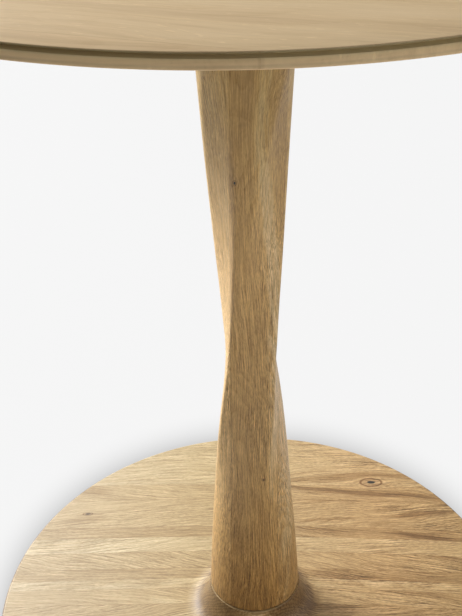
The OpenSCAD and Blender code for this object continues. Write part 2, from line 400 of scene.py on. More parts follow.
class Timber(Paint):
    """Works out the material of one oak part from the place in its boards."""

    tone: Value
    warmth: Value
    slope: Value
    seed: Value
    heart: tuple[Value, Value]
    over: Value
    under: Value
    STREAK = Cell(55 * MM, 4.2 * MM, 3.0, 0.55)
    CLOUD = Cell(150 * MM, 13 * MM, 3.0, 0.55)
    RAY = Cell(6 * MM, 1.3 * MM, shift=9.0)
    LIVELY = Cell(160 * MM, 34 * MM, 2.0, shared=True)
    FLOW_SLOW = Cell(130 * MM, 50 * MM)
    FLOW_QUICK = Cell(22 * MM, 12 * MM)
    RING_SLOW = Cell(190 * MM, 60 * MM)
    RING_QUICK = Cell(35 * MM, 12 * MM, 2.0)
    PORE_SHORT = Cell(9 * MM, 0.6 * MM)
    PORE_LONG = Cell(30 * MM, 0.6 * MM, shift=3.0)
    FRAY = Cell(50 * MM, 3.5 * MM, 3.0, shift=3.0)
    TONE_SPAN = 0.6
    DARKEST_BOARD = 0.72
    SHADE_GREEN = 1.15
    SHADE_BLUE = 1.4
    RELIEF = 0.3 * MM
    RING_STOPS = ((0.0, 0.1), (0.07, 1.0), (0.22, 0.72), (0.48, 0.22), (0.8, 0.0), (1.0, 0.1))

    def __init__(self, oak: Oak) -> None:
        """Reads the place along the grain, across the boards and into them.

        Args:
            oak: what the wood is like.
        """
        super().__init__(oak.name)
        self.oak = oak
        x, y, z = self.split(self.turned(self.place, oak.turn))
        self.along, self.across, self.deep = x, y, z
        if oak.grain is Grain.ALONG_Z:
            self.along, self.across, self.deep = z, x + z * oak.lean, y
        self.none = self.across * 0.0

    def build(self) -> bpy.types.Material:
        """Builds the wood from its boards outwards.

        Returns:
            The finished material.
        """
        oak = self.oak
        knots, eyes = self.bend_round_knots()
        self.look_up_board()
        glue = self.glue_lines()
        self.wave()
        early = self.rings()
        self.lay_fibres()
        pores = self.pores(early)
        dark = self.tone * -self.TONE_SPAN + self.DARKEST_BOARD + early * oak.ring_strength
        for cell, strength in ((self.STREAK, oak.streak_strength),
                               (self.CLOUD, oak.cloud_strength)):
            dark = dark + (self.cells(cell, self.across, self.deep) - 0.5) * strength
        dark = dark + glue * oak.glue_strength + self.streaks()
        dark = dark + self.end_grain() * oak.end_strength
        colour = self.ramp(dark, (
            (0.0, oak.pale), (0.42, oak.middle), (0.78, oak.brown), (1.0, oak.deep_brown)))
        colour = self.blend(self.warmth * 0.5, colour, oak.warm, "MULTIPLY")
        light = self.fibres(pores)
        height = self.split(self.place)[2]
        # Multiplies in the tone and painted light along the grain, then the painted light and shade
        # by height.
        for place, (start, stop), stops in ((self.along, oak.reach, oak.tone_and_painted_light_along),
                                            (height, oak.layers_reach, oak.layers)):
            share = (place - start) / (stop - start)
            colour = self.blend(1.0, colour, self.ramp(share, stops), "MULTIPLY")
        tint = self.vector(light, self.math("POWER", light, self.SHADE_GREEN),
                           self.math("POWER", light, self.SHADE_BLUE))
        colour = self.blend(1.0, colour, tint, "MULTIPLY")
        colour = self.blend(knots, colour, oak.knot_colour, "MULTIPLY")
        colour = self.blend(eyes, colour, oak.eye_colour)
        rough = early * 0.05 + pores * 0.22 + knots * 0.08 + oak.roughness
        relief = light * 0.5 - early * 0.20 - glue * 0.35 - eyes * 0.8
        self.surface(colour, rough, relief, self.RELIEF, 0.28)
        self.shader.inputs["Specular IOR Level"].default_value = oak.shine
        return self.material

    def cells(self, cell: Cell, across: Value, deep: Value | None = None) -> Value:
        """Reads a noise that is drawn out along the grain.

        Args:
            cell: the noise's cell.
            across: place across the grain.
            deep: place into the wood, or None for a noise that is the same all through.

        Returns:
            The noise.
        """
        layer = self.seed if deep is None else deep / cell.width
        if deep is not None and not cell.shared:
            layer = layer + self.seed + cell.shift
        return self.noise(self.along / cell.length, across / cell.width, layer, cell.detail,
                          cell.roughness)

    def bend_round_knots(self) -> tuple[Value, Value]:
        """Bends the grain round the knots and shades them.

        Returns:
            The knots' shade and their eyes.
        """
        shade = eyes = self.none
        for knot in self.oak.knots:
            long, wide = knot.size
            a, b, c = (place - middle for place, middle in zip(
                (self.along, self.across, self.deep), knot.place))
            bend = self.length(a / (long * 2.6), b / (wide * 2.2), c / (wide * 5.5))
            near = self.math("POWER", 2.718, bend * bend * -1.0)
            self.across = self.across - b * near * 0.62
            reach = self.length(a / long, b / wide, c / (wide * 10))
            reach = reach + (self.noise(a / long, b / wide, 0.3) - 0.5) * 0.5
            ring = self.ease(reach, 0.78, 1.0) * self.ease(reach, 1.0, 1.22, 1.0, 0.0)
            body = self.ease(reach, 0.5, 1.15, 0.35, 0.0) + ring * 0.85
            eye = self.ease(reach, knot.eye * 0.7, knot.eye * 1.15, 1.0, 0.0)
            shade = self.math("MAXIMUM", shade, body * knot.dark)
            eyes = self.math("MAXIMUM", eyes, eye * min(1.0, knot.dark * 1.1))
        return shade, eyes

    def look_up_board(self) -> None:
        """Reads the tone, heart, slope, warmth and seed of the board at this place."""
        boards = self.oak.boards
        number = self.none
        for board in boards[:-1]:
            number = number + self.math("GREATER_THAN", self.across, board.edge)
        at = (number + 0.5) / len(boards)
        looks = [(i / len(boards), (b.tone, 0.5 + b.heart[0], 0.5 + b.heart[1]))
                 for i, b in enumerate(boards)]
        growth = [(i / len(boards), (0.5 + b.slope * 4, b.warmth, (i * 0.37 + self.oak.seed) % 1.0))
                  for i, b in enumerate(boards)]
        self.tone, across, deep = self.split(self.ramp(at, looks, stepped=True))
        slope, self.warmth, seed = self.split(self.ramp(at, growth, stepped=True))
        self.heart = (across - 0.5, deep - 0.5)
        self.slope = (slope - 0.5) * 0.25
        self.seed = seed * 40.0

    def glue_lines(self) -> Value:
        """Draws a thin line where two boards meet.

        Returns:
            1 in a line, else 0.
        """
        line = self.none
        for board in self.oak.boards[:-1]:
            near = self.math("ABSOLUTE", self.across - board.edge)
            line = line + self.ease(near, 0.15 * MM, 0.5 * MM, 1.0, 0.0)
        return line

    def wave(self) -> None:
        """Leans and waves the grain, so that fibres don't run dead straight."""
        slow = self.cells(self.FLOW_SLOW, self.across)
        quick = self.cells(self.FLOW_QUICK, self.across)
        lean = self.along * self.slope * self.oak.skew
        self.across = self.across - lean + (slow - 0.5) * 0.022 + (quick - 0.5) * 0.0016

    def rings(self) -> Value:
        """Lays the growth rings round the heart of the board's tree.

        Returns:
            1 at the open-pored early wood, falling to 0 in the late wood.
        """
        slow = self.cells(self.RING_SLOW, self.across, self.deep)
        quick = self.cells(self.RING_QUICK, self.across, self.deep)
        radius = self.length(self.across - self.heart[0],
                             self.deep - self.heart[1] - self.along * self.slope)
        radius = radius + (slow - 0.5) * 0.030 + (quick - 0.5) * 0.0022
        width = self.oak.ring_width
        uneven = self.noise(radius / (width * 3.1), self.seed, 0.0, 1.0)
        turn = self.math("FRACT", radius / width + uneven * 1.6)
        return self.split(self.ramp(turn, [(at, (level,) * 3) for at, level in self.RING_STOPS]))[0]

    def lay_fibres(self) -> None:
        """Finds the place that fibres follow, so that they stay long on a sloping surface."""
        self.over, self.under = self.across, self.deep / 6.0
        if self.oak.around:
            x, y, _ = self.split(self.place)
            far = self.length(x, y) + 0.001
            self.over = x / far * self.oak.around + (self.across - x)
            self.under = y / far * self.oak.around

    def pores(self, early: Value) -> Value:
        """Opens short pores along the grain, most of them in the early wood.

        Args:
            early: 1 in the early wood and 0 in the late wood.

        Returns:
            1 in an open pore, falling to 0 where the wood is closed.
        """
        short, long = (self.cells(cell, self.over, self.under)
                       for cell in (self.PORE_SHORT, self.PORE_LONG))
        cells = self.math("MAXIMUM", self.ease(short, 0.60, 0.72), self.ease(long, 0.60, 0.74))
        return cells * (early * 0.6 + 0.4)

    def fibres(self, pores: Value) -> Value:
        """Light and dark fibres and the shade of the open pores, 1 where the wood is plain.

        Args:
            pores: how open the pores are.

        Returns:
            The factor for the wood's colour.
        """
        oak = self.oak
        width, wide = oak.fibre_width, oak.fibre_width * 3
        lines, ticks, bands, rays, soft = (self.cells(cell, self.over, self.under) for cell in (
            Cell(width * 60, width, 2.0, 0.65), Cell(width * 7, width, 2.0, 0.6, 5.0),
            Cell(wide * 22, wide, 3.0, 0.55, 7.0), self.RAY, self.LIVELY))
        lively = self.ease(soft, 0.3, 0.7, 0.7, 1.25)
        lively = lively * self.ease(self.along, *oak.reach, *oak.contrast)
        light = (lines - 0.5) * oak.hair_strength + (ticks - 0.5) * oak.tick_strength
        light = light + (bands - 0.5) * oak.band_strength
        light = light + self.ease(rays, 0.66, 0.74, 0.0, 0.08) - pores * oak.pore_strength
        return self.math("MAXIMUM", light * lively + 1.0, 0.12)

    def end_grain(self) -> Value:
        """Tells end grain from the sides.

        Returns:
            How much a face looks along the grain, 0 on a side and 1 on an end.
        """
        x, _, z = self.split(self.turned(self.facing, self.oak.turn))
        facing = x if self.oak.grain is Grain.ALONG_X else z
        return self.ease(self.math("ABSOLUTE", facing), *self.oak.end_reach)

    def streaks(self) -> Value:
        """Sums the soft patches of the part, both those in the wood and those of painted light and
        shade, with frayed ends.

        Returns:
            How much darker the colour is there.
        """
        total = self.none
        fray = self.noise(self.along / self.FRAY.length, self.across / self.FRAY.width,
                          self.oak.seed + self.FRAY.shift, self.FRAY.detail)
        for streak in self.oak.streaks:
            a = (self.along - streak.place[0]) / streak.size[0]
            b = (self.across - streak.place[1]) / streak.size[1]
            far = self.length(a, b) + (fray - 0.5) * 1.1
            total = total + self.ease(far, 0.25, 1.05, streak.dark, 0.0)
        return total


@dataclass(frozen=True)
class PaintedSteel:
    """Steel plate under a fine black powder coat."""

    name: str = "black_powder_coat"
    colour: Colour = (0.022, 0.022, 0.024)
    peel: float = 0.7 * MM
    dust: float = 40 * MM

    def material(self) -> bpy.types.Material:
        """Builds the material.

        Returns:
            The finished material.
        """
        paint = Paint(self.name)
        peel = paint.specks(self.peel, 3.0)
        dusty = tuple(c * 1.9 + 0.006 for c in self.colour)
        share = paint.ease(paint.specks(self.dust, 3.0), 0.35, 0.75)
        paint.surface(paint.blend(share, self.colour, dusty), peel * 0.25 + 0.42, peel,
                      0.08 * MM, 0.35)
        return paint.material


@dataclass(frozen=True)
class BrightMetal:
    """Zinc-plated steel or turned brass, with faint tool marks round its axis."""

    name: str
    colour: Colour
    stain: Colour
    roughness: float
    mark: float = 0.12 * MM
    cloud: float = 4 * MM

    def material(self) -> bpy.types.Material:
        """Builds the material.

        Returns:
            The finished material.
        """
        paint = Paint(self.name)
        marks = paint.specks(6 * MM, 2.0, tall=self.mark)
        cloud = paint.specks(self.cloud, 3.0)
        colour = paint.blend(paint.ease(cloud, 0.4, 0.75), self.colour, self.stain)
        rough = marks * 0.18 + cloud * 0.12 + self.roughness
        paint.surface(colour, rough, marks, 0.02 * MM, 0.3)
        paint.shader.inputs["Metallic"].default_value = 1.0
        return paint.material


@dataclass(frozen=True)
class MouldedPlastic:
    """Black plastic with the fine spark-eroded grain of a mould."""

    name: str = "moulded_black_plastic"
    colour: Colour = (0.018, 0.018, 0.019)
    scuffed: Colour = (0.05, 0.05, 0.052)
    grain: float = 0.35 * MM

    def material(self) -> bpy.types.Material:
        """Builds the material.

        Returns:
            The finished material.
        """
        paint = Paint(self.name)
        grain = paint.specks(self.grain, 2.0)
        scuffs = paint.ease(paint.specks(3 * MM, 3.0, long=12 * MM), 0.55, 0.8)
        colour = paint.blend(scuffs, self.colour, self.scuffed)
        paint.surface(colour, grain * 0.16 + scuffs * 0.1 + 0.44, grain, 0.05 * MM, 0.3)
        return paint.material


@dataclass(frozen=True)
class Holes:
    """Equal round holes from z upwards, with their places, radius and depth."""

    places: Sequence[Point]
    z: float
    radius: float
    depth: float


def on_ring(radius: float, count: int, start: float = 0.0) -> list[Point]:
    """Places evenly round a ring.

    Args:
        radius: the ring's radius.
        count: how many places.
        start: angle of the first, in degrees.

    Returns:
        The places' x and y.
    """
    angles = (math.radians(start + 360 * i / count) for i in range(count))
    return [(radius * math.cos(a), radius * math.sin(a)) for a in angles]


def arc(x: float, z: float, radius: float, start: float, stop: float, steps: int) -> list[Point]:
    """Points of a turned section's arc.

    Args:
        x: the arc's centre, out from the axis.
        z: the arc's centre, up.
        radius: the arc's radius.
        start: first angle in degrees.
        stop: last angle in degrees.
        steps: how many steps lie between them.

    Returns:
        The points, out and up.
    """
    angles = (math.radians(start + (stop - start) * i / steps) for i in range(steps + 1))
    return [(x + radius * math.cos(a), z + radius * math.sin(a)) for a in angles]


def turned_mesh(section: Sequence[Point], steps: int, x: float = 0.0,
                y: float = 0.0) -> bmesh.types.BMesh:
    """Turns a section round an upright axis.

    Args:
        section: points out from the axis and up, from axis to axis.
        steps: steps round the axis.
        x: place of the axis.
        y: place of the axis.

    Returns:
        A closed mesh, with its doubled points merged and its faces outwards.
    """
    made = bmesh.new()
    points = [made.verts.new((x + r, y, z)) for r, z in section]
    edges = [made.edges.new(pair) for pair in zip(points, points[1:])]
    bmesh.ops.spin(made, geom=points + edges, cent=(x, y, 0), axis=(0, 0, 1), dvec=(0, 0, 0),
                   angle=math.tau, steps=steps, use_merge=True, use_normal_flip=False,
                   use_duplicate=False)
    bmesh.ops.remove_doubles(made, verts=made.verts, dist=1e-6)
    bmesh.ops.dissolve_degenerate(made, edges=made.edges, dist=1e-7)
    bmesh.ops.recalc_face_normals(made, faces=made.faces)
    return made


def ringed_mesh(count: int, levels: Sequence[float], radius: Callable[[float, float], float],
                x: float = 0.0, y: float = 0.0) -> bmesh.types.BMesh:
    """Lofts an upright shape ring by ring.

    Args:
        count: points in each ring.
        levels: heights of the rings, from the lowest up.
        radius: gives the radius at an angle and a height.
        x: place of the shape's axis.
        y: place of the shape's axis.

    Returns:
        A closed mesh with flat ends.
    """
    made = bmesh.new()
    first = bmesh.ops.create_circle(made, cap_ends=True, segments=count, radius=1.0)
    ring = list(first["verts"])
    turns = [math.atan2(v.co.y, v.co.x) for v in ring]
    edges = list(made.edges)

    def settle(points: list[bmesh.types.BMVert], z: float) -> None:
        """Puts a ring's points in their places.

        Args:
            points: the ring's points.
            z: its height.
        """
        for point, turn in zip(points, turns):
            r = radius(turn, z)
            point.co = (x + r * math.cos(turn), y + r * math.sin(turn), z)

    settle(ring, levels[0])
    for z in levels[1:]:
        order = {v: i for i, v in enumerate(ring)}
        grown = bmesh.ops.extrude_edge_only(made, edges=edges)["geom"]
        fresh = {v for v in grown if isinstance(v, bmesh.types.BMVert)}
        edges = [e for e in grown
                 if isinstance(e, bmesh.types.BMEdge) and fresh.issuperset(e.verts)]
        for vert in fresh:
            for other in (edge.other_vert(vert) for edge in vert.link_edges):
                if other in order:
                    ring[order[other]] = vert
        settle(ring, z)
    bmesh.ops.contextual_create(made, geom=edges)
    bmesh.ops.recalc_face_normals(made, faces=made.faces)
    return made


def piece(mesh: bmesh.types.BMesh, name: str, sharp: float = 40.0) -> bpy.types.Object:
    """Makes a smooth-shaded object at the origin from a mesh.

    Args:
        mesh: the mesh, which is used up.
        name: the object's name.
        sharp: angle in degrees from which an edge stays sharp.

    Returns:
        The object, linked into the scene.
    """
    data = bpy.data.meshes.new(name)
    mesh.to_mesh(data)
    mesh.free()
    made = bpy.data.objects.new(name, data)
    bpy.context.scene.collection.objects.link(made)
    data.shade_smooth()
    data.set_sharp_from_angle(angle=math.radians(sharp))
    return made


def drill(wood: bpy.types.Object, sets: Sequence[Holes], sharp: float = 40.0) -> None:
    """Drills round holes into a piece.

    Args:
        wood: the piece.
        sets: the holes, in sets of equal ones.
        sharp: angle in degrees from which an edge stays sharp.
    """
    bits = bmesh.new()
    for holes in sets:
        for x, y in holes.places:
            middle = Matrix.Translation((x, y, holes.z + holes.depth / 2))
            bmesh.ops.create_cone(bits, cap_ends=True, segments=48, radius1=holes.radius,
                                  radius2=holes.radius, depth=holes.depth, matrix=middle)
    tool = piece(bits, wood.name + "_bits")
    cut = wood.modifiers.new("holes", "BOOLEAN")
    cut.operation = "DIFFERENCE"
    cut.solver = "EXACT"
    cut.object = tool
    seen = wood.evaluated_get(bpy.context.evaluated_depsgraph_get())
    drilled = bpy.data.meshes.new_from_object(seen)
    wood.modifiers.remove(cut)
    old = wood.data
    wood.data = drilled
    drilled.name = old.name
    bpy.data.meshes.remove(old)
    bpy.data.objects.remove(tool)
    drilled.set_sharp_from_angle(angle=math.radians(sharp))


def dress(target: bpy.types.Object, material: bpy.types.Material) -> None:
    """Gives every slot of an object one material."""
    target.data.materials.clear()
    target.data.materials.append(material)


def stand_for(made: bpy.types.Object, node: str, body: str,
              material: bpy.types.Material) -> None:
    """Puts a finished piece in the place of a CAD node.

    Args:
        made: the piece.
        node: the CAD node it stands for.
        body: the body it rides on.
        material: its finish.
    """
    dress(made, material)
    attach(made, body)
    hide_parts(node)
    log.info("%s stands for %s: %d faces", made.name, node, len(made.data.polygons))


@dataclass
class Tabletop:
    """Round top of glued boards, with a quirk under its upper arris and a bevelled underside."""

    radius: float = 350 * MM
    top: float = 760 * MM
    bottom: float = TOP_UNDERSIDE
    arris: float = 0.5 * MM
    lip: float = 0.8 * MM
    lip_arris: Point = (0.15 * MM, 0.12 * MM)
    quirk_height: float = 2.2 * MM
    quirk_depth: float = 4.0 * MM
    quirk_mouth: float = 0.4 * MM
    quirk_root: float = 0.5 * MM
    quirk_chamfer: Point = (0.2 * MM, 0.25 * MM)
    band: float = 8.5 * MM
    low_arris: float = 1.0 * MM
    bevel_run: float = 30 * MM
    low_rings: tuple[float, ...] = (0.0, 0.3, 0.7)
    top_rings: tuple[float, ...] = (0.94, 0.75, 0.5, 0.25, 0.0)
    screw_ring: float = 100 * MM
    insert_room: float = 4.6 * MM
    insert_depth: float = 12 * MM
    steps: int = 320

    def section(self) -> list[Point]:
        """Draws the turned section.

        Returns:
            Its points, from the underside's middle to the top's middle.
        """
        low, high = self.top - self.band, self.top - self.lip
        shelf, inner = high - self.quirk_height, self.radius - self.quirk_depth
        points = [(self.radius * share, self.bottom) for share in self.low_rings]
        points.append((self.radius - self.bevel_run, self.bottom))
        points += arc(self.radius - self.low_arris, low + self.low_arris, self.low_arris, -65, 0, 6)
        bend, root = self.quirk_mouth, self.quirk_root
        points += arc(self.radius - bend, shelf - bend, bend, 0, 80, 4)
        points += arc(inner + root, shelf + root, root, -100, -180, 4)
        points += [(inner, high - self.quirk_chamfer[1]), (inner + self.quirk_chamfer[0], high),
                   (self.radius - self.lip_arris[0], high), (self.radius, high + self.lip_arris[1])]
        points += arc(self.radius - self.arris, self.top - self.arris, self.arris, 0, 90, 6)
        return points + [(self.radius * share, self.top) for share in self.top_rings]

    def build(self) -> bpy.types.Object:
        """Turns the top and bores it for the threaded inserts.

        Returns:
            The tabletop.
        """
        made = piece(turned_mesh(self.section(), self.steps), "oak_tabletop")
        drill(made, [Holes(on_ring(self.screw_ring, 6), self.bottom - OVERCUT, self.insert_room,
                           self.insert_depth + OVERCUT)])
        return made

    def finish(self) -> Oak:
        """Chooses the top's boards and their grain.

        Returns:
            Its wood.
        """
        return Oak(
            name="oak_top_boards", grain=Grain.ALONG_X, turn=-14.0, seed=0.11, shine=0.15,
            hair_strength=0.13, tick_strength=0.06, band_strength=0.13, pore_strength=0.05,
            streak_strength=0.28, ring_strength=0.05, cloud_strength=0.8, fibre_width=0.85 * MM,
            # Painted light and shade on the edge, by height: the band under the quirk is lightened
            # as painted light, the quirk is darkened as painted shade, and the top face is a touch
            # darker.
            layers=((0.0, WHITE), (0.05, (1.20, 1.20, 1.18)), (0.15, (1.18, 1.17, 1.15)),
                    (0.26, (1.02, 1.02, 1.0)), (0.37, (1.18, 1.17, 1.15)),
                    (0.55, (1.12, 1.13, 1.08)), (0.66, (0.92, 0.96, 0.91)),
                    (0.70, (0.90, 0.98, 0.92)), (0.76, (0.56, 0.65, 0.58)),
                    (0.90, (0.38, 0.45, 0.38)), (0.94, (0.56, 0.58, 0.54)),
                    (1.0, (0.98, 0.98, 0.98))),
            layers_reach=(0.751, 0.760),
            pale=(0.91, 0.71, 0.455), middle=(0.815, 0.61, 0.357), brown=(0.64, 0.45, 0.252),
            boards=(
                Board(-0.338, 0.30, (-0.30, 0.20), 0.012, 0.6),
                Board(-0.262, 0.52, (-0.29, 0.42), 0.018, 0.4),
                Board(-0.176, 0.40, (-0.20, 0.38), -0.02, 0.7),
                Board(-0.088, 0.58, (-0.12, 0.40), 0.015, 0.3),
                Board(-0.004, 0.46, (-0.06, 0.45), -0.014, 0.5),
                Board(0.084, 0.36, (0.06, 0.41), 0.02, 0.8),
                Board(0.170, 0.55, (0.20, 0.42), -0.02, 0.4),
                Board(0.255, 0.44, (0.24, 0.40), 0.016, 0.6),
                Board(0.4, 0.50, (0.30, 0.42), 0.01, 0.5),
            ),
        )


@dataclass
class Column:
    """Solid column that twists from a round foot through a square waist to a square head.

    Twist rates are in degrees for each metre. `square_start`, `twist_zero`, `head_face_on`
    and `head_start` are heights above the waist.
    """

    foot: float = 40.6 * MM
    bottom: float = HUB_TOP
    top: float = 733 * MM
    waist: float = 345 * MM
    waist_half: float = 19.5 * MM
    foot_softness: float = 0.073
    square_half: float = 64 * MM
    square_softness: float = 1.34
    square_start: float = -175 * MM
    square_run: float = 178 * MM
    waist_squareness: float = 15.4
    twist_rate: float = 238.0
    twist_zero: float = -21 * MM
    head_low: float = 21.55 * MM
    head_half: float = 42 * MM
    head_squareness: float = 3.7
    head_twist_rate: float = 7.0
    head_face_on: float = 140 * MM
    head_start: float = 8 * MM
    head_blend: float = 53 * MM
    edge_sharpness: float = 33.0
    foot_bevel: float = 0.9 * MM
    insert_room: float = 5.6 * MM
    insert_depth: float = 35 * MM
    head_insert_depth: float = 37 * MM
    points: int = 240
    rings: int = 148
    sharp: float = 50.0

    @staticmethod
    def soft_square(turn: float, power: float) -> float:
        """Radius of a soft-cornered square of half-width 1, at an angle."""
        return (abs(math.cos(turn)) ** power + abs(math.sin(turn)) ** power) ** (-1 / power)

    @staticmethod
    def smooth(t: float) -> float:
        """Goes from 0 to 1 with a soft start and end."""
        t = min(1.0, max(0.0, t))
        return t * t * (3 - 2 * t)

    @staticmethod
    def flare(t: float, soft: float) -> float:
        """Goes from 0 to 1, flat over the first part and straight after it."""
        return (math.hypot(t, soft) - soft) / (math.hypot(1, soft) - soft)

    def round_half(self, z: float) -> float:
        """Radius of the round foot's own shape at a height.

        Args:
            z: height.

        Returns:
            The radius.
        """
        below = max(0.0, (self.waist - z) / (self.waist - self.bottom))
        share = self.flare(below, self.foot_softness)
        swell = 0.5 * share + 0.5 * math.sin(share * math.pi / 2)
        return self.waist_half + (self.foot - self.waist_half) * swell

    def radius(self, turn: float, z: float) -> float:
        """The column's radius.

        Args:
            turn: angle about the axis.
            z: height.

        Returns:
            The distance from the axis to the surface.
        """
        rise = z - self.waist
        above = max(0.0, rise / (TOP_UNDERSIDE - self.waist))
        round_half = self.round_half(z)
        half = round_half
        if rise >= 0:
            spread = self.flare(above, self.square_softness)
            half = self.waist_half + (self.square_half - self.waist_half) * spread
        square = self.smooth((rise - self.square_start) / self.square_run)
        waist_turn = math.radians(self.twist_rate * (rise - self.twist_zero))
        twisted = (square * half * self.soft_square(turn - waist_turn, self.waist_squareness)
                   + (1 - square) * round_half)
        come_in = self.smooth((rise - self.head_start) / self.head_blend)
        head_turn = math.radians(self.head_twist_rate * (rise - self.head_face_on))
        head = ((self.head_low + (self.head_half - self.head_low) * above)
                * self.soft_square(turn - head_turn, self.head_squareness))
        power = self.edge_sharpness
        left = come_in * (head / MM) ** -power + (twisted / MM) ** -power
        bevel = self.foot_bevel if z <= self.bottom else 0.0
        return left ** (-1 / power) * MM - bevel

    def build(self) -> bpy.types.Object:
        """Lofts the column and bores both of its ends.

        Returns:
            The column.
        """
        start = self.bottom + self.foot_bevel
        levels = [self.bottom, self.bottom + self.foot_bevel * 0.999]
        levels += [start + (self.top - start) * i / self.rings for i in range(1, self.rings + 1)]
        mesh = ringed_mesh(self.points, levels, self.radius)
        made = piece(mesh, "oak_column", self.sharp)
        below, bolts = self.bottom - OVERCUT, on_ring(BOLT_RING, 4, 45)
        drill(made, [
            Holes(bolts, below, self.insert_room, self.insert_depth + OVERCUT),
            Holes(bolts, self.top - self.head_insert_depth, self.insert_room,
                  self.head_insert_depth + OVERCUT),
            Holes([(0, 0)], below, DOWEL_ROOM, DOWEL_DEPTH + OVERCUT)], self.sharp)
        return made

    def finish(self) -> Oak:
        """Chooses the column's laminations and their grain.

        Returns:
            Its wood.
        """
        return Oak(
            name="oak_column_laminations", grain=Grain.ALONG_Z, lean=-0.0208, seed=0.37,
            contrast=(1.4, 0.7), reach=(0.07, 0.73), shine=0.7, around=30 * MM,
            hair_strength=2.3, tick_strength=1.0, band_strength=0.3, ring_strength=0.12,
            pore_strength=0.4,
            # Painted shade: the lowest millimetre and a half of the foot, round its bevel, is
            # darkened nearly to black as the shadow of the joint on the hub.
            layers=((0.0, (0.08, 0.07, 0.06)), (0.5, (0.12, 0.10, 0.08)), (1.0, WHITE)),
            layers_reach=(0.0690, 0.0705),
            # Painted shade along the height: darker and more saturated towards the foot, where it
            # stands on the base, and darker towards the head, under the tabletop.
            tone_and_painted_light_along=((0.0, (0.58, 0.49, 0.36)), (0.05, (0.65, 0.56, 0.42)),
                   (0.14, (0.78, 0.71, 0.58)), (0.28, (0.92, 0.89, 0.84)),
                   (0.55, (0.95, 0.92, 0.87)), (0.75, (0.70, 0.68, 0.54)),
                   (1.0, (0.62, 0.62, 0.44))),
            pale=(0.83, 0.69, 0.44), middle=(0.70, 0.46, 0.182), brown=(0.48, 0.29, 0.095),
            boards=(
                Board(-0.0231, 0.62, (-0.16, 0.10), 0.02, 0.4),
                Board(0.0170, 0.24, (-0.02, -0.115), -0.03, 0.5),
                Board(0.2, 0.62, (0.14, -0.16), 0.03, 0.6),
            ),
            # Painted light and shade: a lighter patch on the lit left facet at mid height as a
            # painted highlight, and a darker patch on the left of the head as painted shade under
            # the tabletop; then a lighter strip up the right side.
            streaks=(
                StreakOrPaintedLight((0.415, -0.021), (0.075, 0.012), -0.35),
                StreakOrPaintedLight((0.64, -0.019), (0.11, 0.016), 0.66),
                StreakOrPaintedLight((0.42, 0.022), (0.42, 0.010), -0.34),
            ),
            knots=(
                Knot((0.5113, -0.0196, -0.030), (2.3 * MM, 1.4 * MM), 0.9, 0.55),
                Knot((0.2226, 0.0044, -0.030), (1.6 * MM, 1.2 * MM), 0.9, 0.6),
                Knot((0.5927, -0.0404, -0.030), (1.6 * MM, 1.0 * MM), 0.6, 0.4),
            ),
        )


